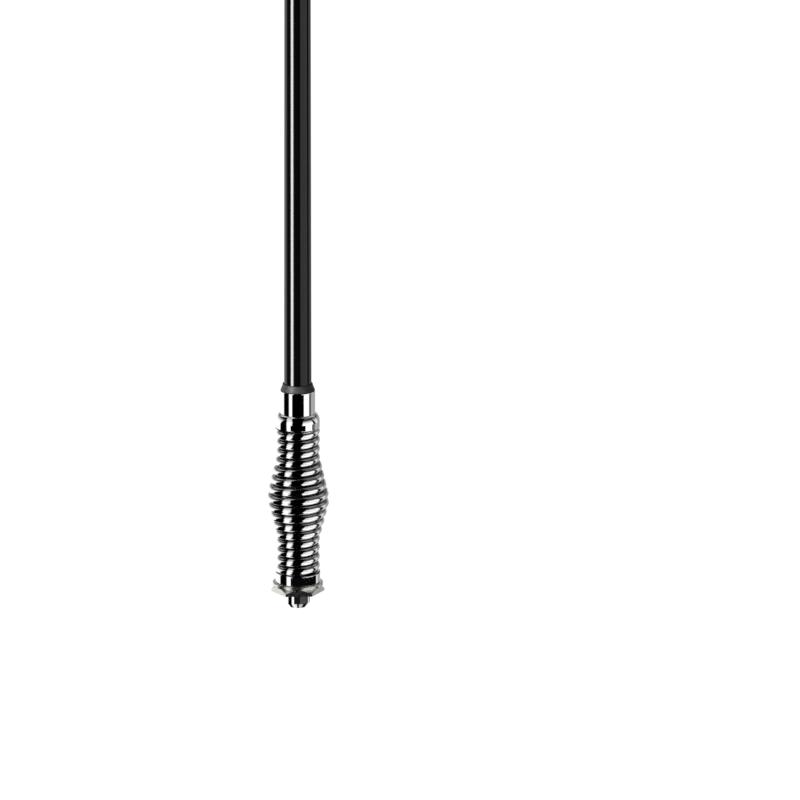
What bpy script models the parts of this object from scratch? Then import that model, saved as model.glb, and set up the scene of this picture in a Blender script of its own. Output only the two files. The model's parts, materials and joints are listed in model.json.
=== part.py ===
"""A CB whip antenna on a barrel spring, standing on its mounting stud. Metres, +Z up.

The origin is the centre of the stud's lower end. The whip's tube carries a wire with a
phasing coil, and a short coaxial lead runs through the spring from the stud to the whip.
"""

import math

import bmesh
import bpy
from mathutils import Matrix, Vector

MM = 0.001

# Clearance between two pieces that touch, and small edge breaks on turned metal
FIT = 0.3 * MM
EDGE = 0.35 * MM

# Facets round a turned piece, a small inner piece, one turn of the spring and one of the coil
ROUND = 40
SMALL_ROUND = 20
SPRING_SIDES = 24
COIL_SIDES = 12

# Steps along a curved stretch of a profile
DOME_STEPS = 9
SHOULDER_STEPS = 7
LIP_STEPS = 3

# A wire's section has four times this many facets, and four more
WIRE_RESOLUTION = 2

# Edges flatter than this are shaded smooth, and points nearer than this are one point
SMOOTH_ANGLE = math.radians(32)
WELD = 0.001 * MM

# Mounting stud and the lower spring plug, turned in one piece
STUD_RADIUS = 6.15 * MM
STUD_LENGTH = 13.0 * MM
STUD_NOSE_HEIGHT = 2.5 * MM
STUD_NOSE_STEP = 2.0 * MM
LOWER_COLLAR_OVERHANG = 0.15 * MM
LOWER_COLLAR_HEIGHT = 5.0 * MM
SPIGOT_LENGTH = 13.0 * MM

# Washer under the collar, and the thin lock nut that holds it there
WASHER_RADIUS = 12.7 * MM
WASHER_THICKNESS = 1.6 * MM
NUT_ACROSS_FLATS = 23.0 * MM
NUT_THICKNESS = 2.9 * MM
NUT_FACE_INSET = 0.1 * MM
NUT_CHAMFER_SLOPE = math.radians(45)
NUT_TURN = math.radians(32.5)

# Barrel spring: a close-wound wire, straight at both ends and swollen in the middle
WIRE_RADIUS = 2.25 * MM
SPRING_TURNS = 16
TURN_GAP = 0.14 * MM
BELLY_OUTER_RADIUS = 15.7 * MM
LOWER_OUTER_RADIUS = 11.1 * MM
UPPER_OUTER_RADIUS = 11.2 * MM
LOWER_STRAIGHT = 17.7 * MM
LOWER_CONE = 17.4 * MM
UPPER_CONE = 19.1 * MM
SPRING_PHASE = 0.45
GROUND_TIP = 0.4 * MM

# Upper spring plug
UPPER_COLLAR_SETBACK = 0.05 * MM
UPPER_COLLAR_HEIGHT = 3.0 * MM
SHOULDER_HEIGHT = 4.25 * MM

# Whip ferrule and the threaded end that screws into the upper plug
FERRULE_WALL = 1.6 * MM
FERRULE_LENGTH = 11.3 * MM
FERRULE_FLOOR = 1.5 * MM
FERRULE_THREAD_RADIUS = 4.2 * MM
FERRULE_THREAD_LENGTH = 8.8 * MM

# Rubber seal over the ferrule's mouth
SEAL_WALL = 1.35 * MM
SEAL_HEIGHT = 3.2 * MM
SEAL_RIM_ROUND = 0.55 * MM
SEAL_LIP = 0.25 * MM

# Whip tube, slightly tapered, and its cap
WHIP_LENGTH = 515.0 * MM
WHIP_BASE_RADIUS = 6.9 * MM
WHIP_TIP_RADIUS = 6.2 * MM
WHIP_WALL = 1.8 * MM
CAP_WALL = 1.3 * MM
CAP_HEIGHT = 15.7 * MM
CAP_CROWN = 2.5 * MM
CAP_DOME_HEIGHT = 6.0 * MM
CAP_DOME_POWER = 2.3
CAP_LIP_STEP = 0.15 * MM
CAP_LIP_ROUND = 0.6 * MM

# Inner contacts: a brass pin in a white bush at each end of the coaxial lead
PIN_RADIUS = 1.0 * MM
BUSH_RADIUS = 2.6 * MM
STUD_BUSH_LENGTH = 9.0 * MM
SOCKET_BUSH_LENGTH = 4.7 * MM

# Coaxial lead through the spring, held by a crimped sleeve in each plug
LEAD_RADIUS = 2.5 * MM
LEAD_BOW = 1.8 * MM
LEAD_POINTS = 19
CRIMP_WALL = 0.6 * MM
CRIMP_LENGTH = 10.0 * MM

# Radiating wire with its phasing coil, and the beads that centre it
RADIATOR_RADIUS = 0.8 * MM
RADIATOR_TOP_DEPTH = 1.0 * MM
COIL_RADIUS = 3.0 * MM
COIL_PITCH = 3.5 * MM
COIL_TURNS = 7
COIL_RUN_IN = 0.5
COIL_START = 180.0 * MM
FORMER_RADIUS = 1.75 * MM
BEAD_LENGTH = 6.0 * MM
BEAD_TO_COIL = 8.0 * MM
TIP_BEAD_DEPTH = 3.0 * MM

# Radii that follow from the spring or the tube
LOWER_COLLAR_RADIUS = LOWER_OUTER_RADIUS + LOWER_COLLAR_OVERHANG
UPPER_COLLAR_RADIUS = UPPER_OUTER_RADIUS - UPPER_COLLAR_SETBACK
WHIP_SOCKET = WHIP_BASE_RADIUS + FIT
FERRULE_RADIUS = WHIP_SOCKET + FERRULE_WALL
SEAL_RADIUS = WHIP_SOCKET + SEAL_WALL
CAP_RADIUS = WHIP_TIP_RADIUS + FIT + CAP_WALL

# Heights worked out from the sizes above
COLLAR_FOOT = STUD_LENGTH
WASHER_FOOT = COLLAR_FOOT - FIT - WASHER_THICKNESS
NUT_FOOT = WASHER_FOOT - FIT - NUT_THICKNESS
COLLAR_TOP = COLLAR_FOOT + LOWER_COLLAR_HEIGHT
SPRING_FOOT = COLLAR_TOP + FIT
SPRING_PITCH = 2 * WIRE_RADIUS + TURN_GAP
SPRING_HEIGHT = SPRING_TURNS * SPRING_PITCH
SPRING_TOP = SPRING_FOOT + SPRING_HEIGHT
UPPER_FOOT = SPRING_TOP + FIT
UPPER_TOP = UPPER_FOOT + UPPER_COLLAR_HEIGHT + SHOULDER_HEIGHT
FERRULE_FOOT = UPPER_TOP + FIT
FERRULE_TOP = FERRULE_FOOT + FERRULE_LENGTH
SOCKET_FLOOR = FERRULE_FOOT + FERRULE_FLOOR
THREAD_FOOT = FERRULE_FOOT - FERRULE_THREAD_LENGTH
TUBE_FOOT = SOCKET_FLOOR + FIT
TUBE_TOP = TUBE_FOOT + WHIP_LENGTH
CAP_CEILING = TUBE_TOP + FIT
CAP_TOP = CAP_CEILING + CAP_CROWN
CAP_FOOT = CAP_TOP - CAP_HEIGHT
LOWER_SPIGOT_TOP = COLLAR_TOP + SPIGOT_LENGTH
UPPER_SPIGOT_FOOT = UPPER_FOOT - SPIGOT_LENGTH

# The spring bends between the spigots: each hinge is a quarter of the way along that stretch
FREE_STRETCH = UPPER_SPIGOT_FOOT - LOWER_SPIGOT_TOP
LOWER_PIVOT = LOWER_SPIGOT_TOP + FREE_STRETCH / 4
UPPER_PIVOT = UPPER_SPIGOT_FOOT - FREE_STRETCH / 4

# Heights of the contacts and of the lead's two ends
STUD_STEP = STUD_BUSH_LENGTH
LEAD_FOOT = STUD_STEP + FIT
SOCKET_STEP_TOP = THREAD_FOOT - FIT
SOCKET_STEP_FOOT = SOCKET_STEP_TOP - SOCKET_BUSH_LENGTH
LEAD_TOP = SOCKET_STEP_FOOT - FIT
RADIATOR_FOOT = SOCKET_FLOOR + FIT
RADIATOR_TOP = TUBE_TOP - RADIATOR_TOP_DEPTH
COIL_FOOT = SOCKET_FLOOR + COIL_START

# Bores worked out from what passes through them
BUSH_BORE = PIN_RADIUS + FIT
PLUG_BORE = BUSH_RADIUS + FIT
STUD_CLEARANCE = STUD_RADIUS + FIT
CRIMP_BORE = LEAD_RADIUS + FIT
CRIMP_RADIUS = CRIMP_BORE + CRIMP_WALL
LEAD_BORE = CRIMP_RADIUS + FIT
THREAD_BORE = FERRULE_THREAD_RADIUS + FIT
BEAD_BORE = RADIATOR_RADIUS + FIT


def clear_scene():
    for item in list(bpy.data.objects):
        bpy.data.objects.remove(item, do_unlink=True)


def new_collection(name):
    collection = bpy.data.collections.new(name)
    bpy.context.scene.collection.children.link(collection)
    return collection


def new_material(name, colour, roughness, metallic=0.0):
    material = bpy.data.materials.new(name)
    material.use_nodes = True
    material.diffuse_color = (*colour, 1.0)
    shader = material.node_tree.nodes["Principled BSDF"]
    shader.inputs["Base Color"].default_value = (*colour, 1.0)
    shader.inputs["Roughness"].default_value = roughness
    shader.inputs["Metallic"].default_value = metallic
    return material


def add_object(name, data, material, collection, height=0.0):
    item = bpy.data.objects.new(name, data)
    item.location.z = height
    data.materials.append(material)
    collection.objects.link(item)
    return item


def evaluated_mesh(item):
    graph = bpy.context.evaluated_depsgraph_get()
    return bpy.data.meshes.new_from_object(item.evaluated_get(graph))


def smooth(mesh):
    mesh.shade_smooth()
    mesh.set_sharp_from_angle(angle=SMOOTH_ANGLE)


def apply_modifiers(item):
    mesh = evaluated_mesh(item)
    item.modifiers.clear()
    item.data = mesh
    smooth(mesh)


def turned(name, profile, material, collection, height=0.0, sides=ROUND, closed=True):
    """A solid of revolution. The profile holds (radius, height) pairs down the outer side."""
    points = [(radius, 0.0, level) for radius, level in profile]
    edges = [(index, index + 1) for index in range(len(points) - 1)]
    if closed:
        edges.append((len(points) - 1, 0))
    mesh = bpy.data.meshes.new(name)
    mesh.from_pydata(points, edges, [])
    item = add_object(name, mesh, material, collection, height)
    screw = item.modifiers.new("Turn", "SCREW")
    screw.steps = sides
    screw.render_steps = sides
    screw.use_merge_vertices = True
    screw.merge_threshold = WELD
    apply_modifiers(item)
    return item


def tube(name, outer, inner, length, material, collection, height, sides=SMALL_ROUND):
    profile = [(outer, length), (outer, 0.0), (inner, 0.0), (inner, length)]
    return turned(name, profile, material, collection, height, sides)


def rod(name, radius, length, material, collection, height, sides=SMALL_ROUND):
    profile = [(0.0, length), (radius, length), (radius, 0.0), (0.0, 0.0)]
    return turned(name, profile, material, collection, height, sides, closed=False)


def bulge(radius, level, reach, rise, steps, power=2.0):
    """A quarter of a superellipse in the profile's plane, from its top out to its side."""
    points = []
    for step in range(steps + 1):
        angle = math.pi / 2 * step / steps
        out = reach * math.sin(angle) ** (2 / power)
        up = rise * math.cos(angle) ** (2 / power)
        points.append((radius + out, level + up))
    return points


def wire(name, points, radius, material, collection):
    """A round wire along the points, as a closed mesh."""
    curve = bpy.data.curves.new(name, "CURVE")
    curve.dimensions = "3D"
    curve.twist_mode = "Z_UP"
    curve.bevel_depth = radius
    curve.bevel_resolution = WIRE_RESOLUTION
    curve.use_fill_caps = True
    spline = curve.splines.new("POLY")
    spline.points.add(len(points) - 1)
    for target, point in zip(spline.points, points):
        target.co = (*point, 1.0)
    guide = bpy.data.objects.new(name + "_guide", curve)
    collection.objects.link(guide)
    mesh = evaluated_mesh(guide)
    place = guide.matrix_world.copy()
    bpy.data.objects.remove(guide, do_unlink=True)
    body = bmesh.new()
    body.from_mesh(mesh)
    bmesh.ops.remove_doubles(body, verts=body.verts, dist=WELD)
    bmesh.ops.recalc_face_normals(body, faces=body.faces)
    body.to_mesh(mesh)
    body.free()
    smooth(mesh)
    item = add_object(name, mesh, material, collection)
    item.matrix_world = place
    return item


def cut(item, cutter, operation):
    boolean = item.modifiers.new("Cut", "BOOLEAN")
    boolean.operation = operation
    boolean.solver = "EXACT"
    boolean.object = cutter
    apply_modifiers(item)


def helper(item, collection):
    """Moves a cutter to its own collection, out of the render."""
    for owner in list(item.users_collection):
        owner.objects.unlink(item)
    collection.objects.link(item)
    item.hide_render = True
    item.display_type = "WIRE"
    return item


def between(low, high, share):
    return low + (high - low) * share


def tube_radius(height):
    share = (height - TUBE_FOOT) / WHIP_LENGTH
    return between(WHIP_BASE_RADIUS, WHIP_TIP_RADIUS, share)


def tube_bore(height):
    return tube_radius(height) - WHIP_WALL


def spring_outer_radius(height):
    """The spring's outer radius at a height above its foot."""
    belly_foot = LOWER_STRAIGHT + LOWER_CONE
    belly_top = belly_foot + SPRING_PITCH
    if height <= LOWER_STRAIGHT:
        return LOWER_OUTER_RADIUS
    if height < belly_foot:
        share = (height - LOWER_STRAIGHT) / LOWER_CONE
        return between(LOWER_OUTER_RADIUS, BELLY_OUTER_RADIUS, share)
    if height <= belly_top:
        return BELLY_OUTER_RADIUS
    share = min(1.0, (height - belly_top) / UPPER_CONE)
    return between(BELLY_OUTER_RADIUS, UPPER_OUTER_RADIUS, share)


def spigot_radius(spring_radius):
    """What fits inside an end turn of the spring, whose facets come nearer than its circle."""
    middle = spring_radius - WIRE_RADIUS
    return middle * math.cos(math.pi / SPRING_SIDES) - WIRE_RADIUS - FIT


def spring_points():
    """A right-handed helix that runs past both ground ends."""
    past_end = WIRE_RADIUS - GROUND_TIP
    first = math.ceil((-past_end / SPRING_PITCH - SPRING_PHASE) * SPRING_SIDES)
    last = math.floor(((SPRING_HEIGHT + past_end) / SPRING_PITCH - SPRING_PHASE) * SPRING_SIDES)
    points = []
    for step in range(first, last + 1):
        turn = step / SPRING_SIDES
        angle = 2 * math.pi * turn
        height = (turn + SPRING_PHASE) * SPRING_PITCH
        radius = spring_outer_radius(height) - WIRE_RADIUS
        point = (radius * math.sin(angle), -radius * math.cos(angle), SPRING_FOOT + height)
        points.append(Vector(point))
    return points


def radiator_points():
    """Straight up the tube's axis, out into the phasing coil and back to the axis."""
    points = [Vector((0.0, 0.0, RADIATOR_FOOT))]
    steps = COIL_TURNS * COIL_SIDES
    for step in range(steps + 1):
        turn = step / COIL_SIDES
        nearest_end = min(turn, COIL_TURNS - turn)
        share = min(1.0, nearest_end / COIL_RUN_IN)
        radius = COIL_RADIUS * math.sin(math.pi / 2 * share)
        angle = 2 * math.pi * turn
        height = COIL_FOOT + turn * COIL_PITCH
        points.append(Vector((radius * math.cos(angle), radius * math.sin(angle), height)))
    points.append(Vector((0.0, 0.0, RADIATOR_TOP)))
    return points


def lead_points():
    """Straight in both plugs, with a little slack between them."""
    points = []
    for step in range(LEAD_POINTS):
        height = between(LEAD_FOOT, LEAD_TOP, step / (LEAD_POINTS - 1))
        share = min(1.0, max(0.0, (height - LOWER_SPIGOT_TOP) / FREE_STRETCH))
        points.append(Vector((LEAD_BOW * math.sin(math.pi * share) ** 2, 0.0, height)))
    return points


def make_lower_plug(material, collection):
    """Spigot, collar and hollow mounting stud."""
    spigot = spigot_radius(LOWER_OUTER_RADIUS)
    profile = [
        (spigot - EDGE, LOWER_SPIGOT_TOP),
        (spigot, LOWER_SPIGOT_TOP - EDGE),
        (spigot, COLLAR_TOP),
        (LOWER_COLLAR_RADIUS - EDGE, COLLAR_TOP),
        (LOWER_COLLAR_RADIUS, COLLAR_TOP - EDGE),
        (LOWER_COLLAR_RADIUS, COLLAR_FOOT + EDGE),
        (LOWER_COLLAR_RADIUS - EDGE, COLLAR_FOOT),
        (STUD_RADIUS, COLLAR_FOOT),
        (STUD_RADIUS, STUD_NOSE_HEIGHT),
        (STUD_RADIUS - STUD_NOSE_STEP, 0.0),
        (PLUG_BORE, 0.0),
        (PLUG_BORE, STUD_STEP),
        (LEAD_BORE, STUD_STEP),
        (LEAD_BORE, LOWER_SPIGOT_TOP),
    ]
    return turned("lower_spring_plug", profile, material, collection)


def make_upper_plug(material, collection):
    """Spigot, collar and rounded shoulder, bored for the ferrule's thread."""
    spigot = spigot_radius(UPPER_OUTER_RADIUS)
    shoulder_foot = UPPER_FOOT + UPPER_COLLAR_HEIGHT
    reach = UPPER_COLLAR_RADIUS - FERRULE_RADIUS
    profile = [
        *bulge(FERRULE_RADIUS, shoulder_foot, reach, SHOULDER_HEIGHT, SHOULDER_STEPS),
        (UPPER_COLLAR_RADIUS, UPPER_FOOT + EDGE),
        (UPPER_COLLAR_RADIUS - EDGE, UPPER_FOOT),
        (spigot, UPPER_FOOT),
        (spigot, UPPER_SPIGOT_FOOT + EDGE),
        (spigot - EDGE, UPPER_SPIGOT_FOOT),
        (LEAD_BORE, UPPER_SPIGOT_FOOT),
        (LEAD_BORE, SOCKET_STEP_FOOT),
        (PLUG_BORE, SOCKET_STEP_FOOT),
        (PLUG_BORE, SOCKET_STEP_TOP),
        (THREAD_BORE, SOCKET_STEP_TOP),
        (THREAD_BORE, UPPER_TOP),
    ]
    return turned("upper_spring_plug", profile, material, collection)


def make_lock_nut(material, parts, cutters):
    """A thin hexagon nut with its upper corners turned to a chamfer."""
    corner = NUT_ACROSS_FLATS / math.sqrt(3)
    half = NUT_THICKNESS / 2
    body = bmesh.new()
    bmesh.ops.create_cone(
        body,
        cap_ends=True,
        segments=6,
        radius1=corner,
        radius2=corner,
        depth=NUT_THICKNESS,
        matrix=Matrix.Rotation(NUT_TURN, 4, "Z"),
    )
    mesh = bpy.data.meshes.new("lock_nut")
    body.to_mesh(mesh)
    body.free()
    nut = add_object("lock_nut", mesh, material, parts, NUT_FOOT + half)
    face_radius = NUT_ACROSS_FLATS / 2 - NUT_FACE_INSET
    slope_reach = corner + EDGE
    slope_height = (slope_reach - face_radius) * math.tan(NUT_CHAMFER_SLOPE)
    profile = [
        (face_radius, half),
        (slope_reach, half - slope_height),
        (slope_reach, -NUT_THICKNESS),
        (STUD_CLEARANCE, -NUT_THICKNESS),
        (STUD_CLEARANCE, half),
    ]
    rim = turned("lock_nut_rim", profile, material, parts, nut.location.z)
    cut(nut, helper(rim, cutters), "INTERSECT")
    return nut


def make_spring(material, parts, cutters):
    """A wire wound into a barrel, its two ends ground flat."""
    spring = wire("barrel_spring", spring_points(), WIRE_RADIUS, material, parts)
    reach = BELLY_OUTER_RADIUS + WIRE_RADIUS
    block = rod("barrel_spring_ends", reach, SPRING_HEIGHT, material, parts, SPRING_FOOT)
    cut(spring, helper(block, cutters), "INTERSECT")
    return spring


def make_ferrule(material, collection):
    """The whip's socket, with a hollow threaded end below."""
    profile = [
        (FERRULE_RADIUS - EDGE, FERRULE_TOP),
        (FERRULE_RADIUS, FERRULE_TOP - EDGE),
        (FERRULE_RADIUS, FERRULE_FOOT),
        (FERRULE_THREAD_RADIUS, FERRULE_FOOT),
        (FERRULE_THREAD_RADIUS, THREAD_FOOT + EDGE),
        (FERRULE_THREAD_RADIUS - EDGE, THREAD_FOOT),
        (PLUG_BORE, THREAD_FOOT),
        (PLUG_BORE, SOCKET_FLOOR),
        (WHIP_SOCKET, SOCKET_FLOOR),
        (WHIP_SOCKET, FERRULE_TOP),
    ]
    return turned("whip_ferrule", profile, material, collection)


def make_seal(material, collection):
    """A rubber ring with a conical flare, on the ferrule's mouth."""
    foot = FERRULE_TOP + FIT
    top = foot + SEAL_HEIGHT
    rim_foot = SEAL_RADIUS - SEAL_RIM_ROUND
    rim = bulge(rim_foot, foot + SEAL_RIM_ROUND, SEAL_RIM_ROUND, -SEAL_RIM_ROUND, LIP_STEPS)
    profile = [(WHIP_SOCKET + SEAL_LIP, top), *reversed(rim), (WHIP_SOCKET, foot), (WHIP_SOCKET, top)]
    return turned("rubber_seal", profile, material, collection)


def make_whip_tube(material, collection):
    profile = [
        (tube_radius(TUBE_TOP), TUBE_TOP),
        (tube_radius(TUBE_FOOT), TUBE_FOOT),
        (tube_bore(TUBE_FOOT), TUBE_FOOT),
        (tube_bore(TUBE_TOP), TUBE_TOP),
    ]
    return turned("whip_tube", profile, material, collection)


def make_tip_cap(material, collection):
    """A domed cap pushed over the tube's top."""
    dome_foot = CAP_TOP - CAP_DOME_HEIGHT
    dome = bulge(0.0, dome_foot, CAP_RADIUS, CAP_DOME_HEIGHT, DOME_STEPS, CAP_DOME_POWER)
    lip_level = CAP_FOOT + CAP_LIP_ROUND
    lip_inner = CAP_RADIUS - CAP_LIP_STEP - CAP_LIP_ROUND
    lip = bulge(lip_inner, lip_level, CAP_LIP_ROUND, -CAP_LIP_ROUND, LIP_STEPS)
    bore = tube_radius(CAP_FOOT) + FIT
    inside = [(bore, CAP_FOOT), (bore, CAP_CEILING), (0.0, CAP_CEILING)]
    profile = [*dome, *reversed(lip), *inside]
    return turned("tip_cap", profile, material, collection, closed=False)


def make_beads(material, collection):
    """Plastic beads that hold the wire on the tube's axis."""
    coil_top = COIL_FOOT + COIL_TURNS * COIL_PITCH
    feet = [
        TUBE_FOOT,
        COIL_FOOT - BEAD_TO_COIL - BEAD_LENGTH,
        coil_top + BEAD_TO_COIL,
        TUBE_TOP - TIP_BEAD_DEPTH - BEAD_LENGTH,
    ]
    beads = []
    for number, foot in enumerate(feet, 1):
        outer = tube_bore(foot + BEAD_LENGTH) - FIT
        name = f"centring_bead_{number}"
        beads.append(tube(name, outer, BEAD_BORE, BEAD_LENGTH, material, collection, foot))
    return beads


def make_contact(place, foot, length, bush_material, pin_material, collection):
    """A pin in its insulating bush."""
    bush_name = f"{place}_insulator"
    bush = tube(bush_name, BUSH_RADIUS, BUSH_BORE, length, bush_material, collection, foot)
    pin = rod(f"{place}_contact", PIN_RADIUS, length, pin_material, collection, foot)
    return [bush, pin]


def make_crimp(place, foot, material, collection):
    """A sleeve pressed on to one end of the coaxial lead."""
    name = f"{place}_crimp_sleeve"
    return tube(name, CRIMP_RADIUS, CRIMP_BORE, CRIMP_LENGTH, material, collection, foot)


def attach(pieces, pivot, height):
    """Parents the pieces to a pivot that stands at this height, without moving them."""
    for piece in pieces:
        piece.parent = pivot
        piece.location.z -= height


def new_pivot(name, height, collection):
    pivot = bpy.data.objects.new(name, None)
    pivot.empty_display_size = BELLY_OUTER_RADIUS
    pivot.location.z = height
    collection.objects.link(pivot)
    return pivot


def build():
    clear_scene()
    parts = new_collection("cb_antenna")
    cutters = new_collection("cutters")
    chrome = new_material("chrome_plate", (0.80, 0.80, 0.82), 0.06, 1.0)
    steel = new_material("plated_steel", (0.62, 0.61, 0.58), 0.28, 1.0)
    gloss_black = new_material("gloss_black_glassfibre", (0.010, 0.010, 0.011), 0.10)
    cap_black = new_material("black_cap_plastic", (0.012, 0.012, 0.013), 0.22)
    rubber = new_material("black_rubber", (0.045, 0.045, 0.048), 0.75)
    white = new_material("white_insulator", (0.82, 0.82, 0.80), 0.45)
    brass = new_material("brass", (0.72, 0.52, 0.22), 0.25, 1.0)
    copper = new_material("copper", (0.75, 0.36, 0.22), 0.30, 1.0)
    jacket = new_material("lead_jacket", (0.020, 0.020, 0.022), 0.50)

    make_lower_plug(chrome, parts)
    tube("washer", WASHER_RADIUS, STUD_CLEARANCE, WASHER_THICKNESS, steel, parts, WASHER_FOOT, ROUND)
    make_lock_nut(steel, parts, cutters)
    make_contact("stud", 0.0, STUD_BUSH_LENGTH, white, brass, parts)
    make_crimp("lower", LEAD_FOOT, brass, parts)

    spring = make_spring(chrome, parts, cutters)
    lead = wire("feed_cable", lead_points(), LEAD_RADIUS, jacket, parts)

    thread_bush = SOCKET_FLOOR - THREAD_FOOT
    coil_length = (COIL_TURNS - 2 * COIL_RUN_IN) * COIL_PITCH
    former_foot = COIL_FOOT + COIL_RUN_IN * COIL_PITCH
    whip_pieces = [
        make_upper_plug(chrome, parts),
        *make_contact("socket", SOCKET_STEP_FOOT, SOCKET_BUSH_LENGTH, white, brass, parts),
        make_crimp("upper", LEAD_TOP - CRIMP_LENGTH, brass, parts),
        make_ferrule(chrome, parts),
        *make_contact("whip", THREAD_FOOT, thread_bush, white, brass, parts),
        make_seal(rubber, parts),
        make_whip_tube(gloss_black, parts),
        wire("radiator_wire", radiator_points(), RADIATOR_RADIUS, copper, parts),
        rod("coil_former", FORMER_RADIUS, coil_length, white, parts, former_foot),
        *make_beads(white, parts),
        make_tip_cap(cap_black, parts),
    ]

    lower_pivot = new_pivot("lower_bend_pivot", LOWER_PIVOT, parts)
    upper_pivot = new_pivot("upper_bend_pivot", UPPER_PIVOT, parts)
    attach([spring, lead, upper_pivot], lower_pivot, LOWER_PIVOT)
    attach(whip_pieces, upper_pivot, UPPER_PIVOT)


build()
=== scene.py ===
"""The looks of the CB whip antenna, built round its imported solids. Metres, +Z up, front at -Y."""

import json
import math

import bmesh
import bpy
from mathutils import Matrix, Vector


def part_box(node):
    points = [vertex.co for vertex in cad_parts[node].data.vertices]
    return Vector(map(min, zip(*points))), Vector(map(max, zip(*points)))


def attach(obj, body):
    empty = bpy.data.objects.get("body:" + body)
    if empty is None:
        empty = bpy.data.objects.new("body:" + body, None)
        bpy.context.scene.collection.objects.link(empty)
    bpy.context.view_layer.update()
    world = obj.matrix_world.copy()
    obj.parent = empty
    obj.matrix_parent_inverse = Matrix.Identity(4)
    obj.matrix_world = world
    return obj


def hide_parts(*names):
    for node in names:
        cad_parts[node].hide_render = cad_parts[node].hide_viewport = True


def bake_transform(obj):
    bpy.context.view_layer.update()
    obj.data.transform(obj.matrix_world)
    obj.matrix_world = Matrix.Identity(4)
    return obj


MM = 0.001
WHITE = (1.0, 1.0, 1.0, 1.0)

# The photograph's frame: its width, where the stud's end stands in it, its scale there, and how the
# camera that took it stood
FRAME_SIDE = 800
STUD_PIXEL = (297.9, 605.8)
PIXELS_PER_METRE = 2000
CAMERA_DISTANCE = 6.0
BASE_ELEVATION = math.radians(16)
CAMERA_ROLL = math.radians(0.09)
SENSOR_WIDTH = 36.0
CLIP_NEAR = 0.1
CLIP_FAR = 100.0

# Facets round a turned piece, the threaded stud, the whip tube, one turn of the spring, its wire and
# the lead inside it
ROUND = 128
THREAD_ROUND = 96
TUBE_ROUND = 96
SPRING_SIDES = 96
WIRE_SIDES = 28
LEAD_SIDES = 24

# Steps along the lead, the tube, and the rounds of an edge, a shoulder, a dome and a rim
LEAD_STEPS = 160
TUBE_STEPS = 60
EDGE_STEPS = 3
SHOULDER_STEPS = 16
DOME_STEPS = 28
RIM_STEPS = 8

# Edges that bend by more than the smooth angle stay sharp, and points nearer than the weld are joined.
# A turned edge is rounded by EDGE, and the guard point lies that little outside the round.
SMOOTH_ANGLE = math.radians(32)
WELD = 0.0005 * MM
EDGE = 0.35 * MM
GUARD = 0.01 * MM

# The point attribute that says how deep in a groove a place on a wire lies, which the chrome uses for
# painted shade between the turns, and where the groove starts and ends, as the cosine of the angle from
# the wire's outer side
GROOVE = "groove"
GROOVE_START = 0.70
GROOVE_END = 0.52

# The sine of a wire's lean below which it counts as upright
NEARLY_UPRIGHT = 0.001

# Mounting stud and lower spring plug
STUD_RADIUS = 6.15 * MM
STUD_NOSE_HEIGHT = 2.5 * MM
STUD_NOSE_STEP = 2.0 * MM
COLLAR_FOOT = 13.0 * MM
COLLAR_TOP = 18.0 * MM
LOWER_COLLAR_RADIUS = 11.25 * MM
SPIGOT_RADIUS = 6.22 * MM
PLUG_BORE = 2.9 * MM
LEAD_BORE = 3.7 * MM
STUD_STEP = 9.0 * MM
THREAD_FOOT = 6.9 * MM
THREAD_PITCH = 1.0 * MM
THREAD_DEPTH = 0.58 * MM
THREAD_CREST = 0.16
THREAD_ROOT = 0.12
THREAD_STEPS = 12

# Washer and lock nut
STUD_CLEARANCE = 6.45 * MM
WASHER_EDGE = 0.55 * MM
NUT_ACROSS_FLATS = 23.0 * MM
NUT_FACE_INSET = 0.1 * MM
NUT_CHAMFER_SLOPE = math.radians(45)
NUT_TURN = math.radians(32.5)
NUT_EDGE = 0.18 * MM
NUT_BORE_CHAMFER = 0.45 * MM

# Barrel spring
WIRE_RADIUS = 2.25 * MM
SPRING_TURNS = 16
LOWER_OUTER_RADIUS = 11.1 * MM
UPPER_OUTER_RADIUS = 11.2 * MM
LOWER_STRAIGHT = 17.7 * MM
LOWER_CONE = 17.4 * MM
UPPER_CONE = 19.1 * MM
SPRING_PHASE = 0.45
GROUND_TIP = 0.4 * MM

# Coaxial lead inside the spring
LEAD_RADIUS = 2.5 * MM
LEAD_BOW = 1.8 * MM

# Upper spring plug, ferrule and seal
UPPER_COLLAR_RADIUS = 11.15 * MM
UPPER_COLLAR_HEIGHT = 3.0 * MM
FERRULE_RADIUS = 8.8 * MM
FERRULE_THREAD_RADIUS = 4.2 * MM
SEAL_RADIUS = 8.55 * MM
SEAL_RIM_ROUND = 0.4 * MM
SEAL_LIP = 0.25 * MM
SEAL_HOLLOW = 0.12 * MM
FLARE_STEPS = 16

# Whip tube and tip cap
WHIP_BASE_RADIUS = 6.9 * MM
WHIP_TIP_RADIUS = 6.2 * MM
WHIP_WALL = 1.8 * MM
CAP_RADIUS = 7.8 * MM
CAP_CROWN = 2.5 * MM
CAP_DOME_HEIGHT = 6.0 * MM
CAP_DOME_POWER = 2.3
CAP_LIP_STEP = 0.15 * MM
CAP_LIP_ROUND = 0.6 * MM

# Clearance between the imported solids, and what is left of it between pieces that are pressed together
FIT = 0.3 * MM
PRESSED = 0.04 * MM

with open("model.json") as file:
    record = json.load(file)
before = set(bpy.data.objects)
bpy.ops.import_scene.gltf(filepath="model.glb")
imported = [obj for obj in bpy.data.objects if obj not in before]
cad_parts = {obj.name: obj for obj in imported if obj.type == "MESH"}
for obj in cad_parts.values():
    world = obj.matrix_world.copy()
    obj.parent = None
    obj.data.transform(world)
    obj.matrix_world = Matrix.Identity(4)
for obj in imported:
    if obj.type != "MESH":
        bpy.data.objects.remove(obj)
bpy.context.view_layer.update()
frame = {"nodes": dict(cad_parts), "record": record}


def span(node):
    """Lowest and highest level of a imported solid."""
    low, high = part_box(node)
    return low.z, high.z


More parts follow.
